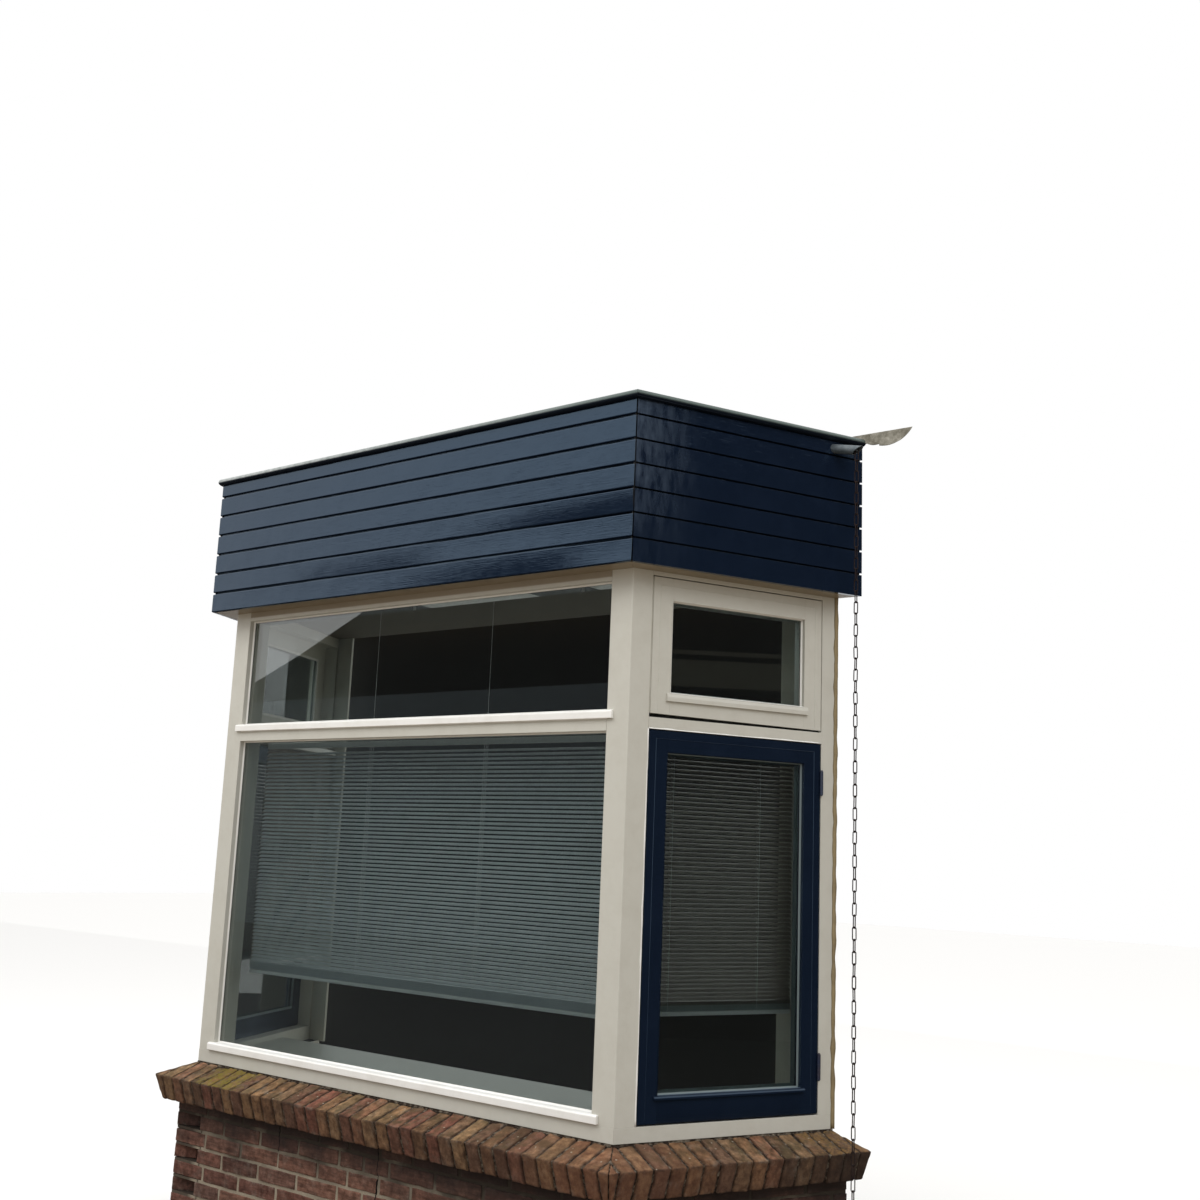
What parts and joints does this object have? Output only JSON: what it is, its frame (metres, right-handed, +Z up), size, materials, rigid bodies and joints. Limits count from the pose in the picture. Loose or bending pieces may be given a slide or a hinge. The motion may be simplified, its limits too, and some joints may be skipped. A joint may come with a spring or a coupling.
{
  "type": "bay window",
  "caption": "Canted flat-roofed bay window: brick base with sloping brick-on-edge sill, timber frame with casements and top-hung lights, boarded fascia, rain chain.",
  "frame": {"origin": "on the ground, in the middle of the overall width and of the overall depth; the house wall's outer face is the plane y = +0.46 m", "axes": "+X along the house wall towards the side with the rain spout, +Y into the house, +Z up"},
  "size_m": [3.3948, 0.92, 3.155],
  "materials": {
    "wall_brick": "fired clay brick with grey lime mortar",
    "sill_brick": "worn orange-brown brick on edge, dark joints",
    "plaster": "smooth painted plaster",
    "white_board": "satin off-white paint",
    "cream_paint": "cream gloss paint on timber",
    "navy_paint": "navy gloss paint on timber",
    "window_glass": "clear double glazing",
    "hinge_metal": "navy painted steel",
    "trim_aluminium": "mill finish, dull",
    "bare_timber": "sawn softwood",
    "roofing_felt": "mineral felt",
    "lead_sheet": "weathered lead",
    "zinc": "weathered zinc",
    "rusty_iron": "rusted wire",
    "blind_slats": "light grey lacquer"
  },
  "bodies": {
    "root": {"front_base_wall": "wall_brick", "left_base_wall": "wall_brick", "right_base_wall": "wall_brick", "front_brick_sill": "sill_brick", "left_brick_sill": "sill_brick", "right_brick_sill": "sill_brick", "base_wall_plaster": "plaster", "window_board": "white_board", "ceiling_board": "white_board", "bottom_rails": "cream_paint", "left_corner_post": "cream_paint", "right_corner_post": "cream_paint", "left_wall_post": "cream_paint", "right_wall_post": "cream_paint", "front_transom": "cream_paint", "side_transoms": "cream_paint", "front_head": "cream_paint", "side_heads": "cream_paint", "front_glazing_beads": "cream_paint", "left_top_sash": "cream_paint", "right_top_sash": "cream_paint", "soffit_boards": "cream_paint", "left_casement": "navy_paint", "right_casement": "navy_paint", "front_fascia": "navy_paint", "left_fascia": "navy_paint", "right_fascia": "navy_paint", "front_lower_pane": "window_glass", "front_upper_pane": "window_glass", "casement_panes": "window_glass", "top_sash_panes": "window_glass", "casement_hinges": "hinge_metal", "roof_edge_trim": "trim_aluminium", "roof_framing": "bare_timber", "fascia_brackets": "bare_timber", "roof_deck": "bare_timber", "roof_kerb": "bare_timber", "roof_back_board": "bare_timber", "roof_membrane": "roofing_felt", "lead_flashing": "lead_sheet", "rain_spout": "zinc", "rain_chain": "rusty_iron", "front_blind": "blind_slats", "left_blind": "blind_slats", "right_blind": "blind_slats"}
  },
  "joints": []
}
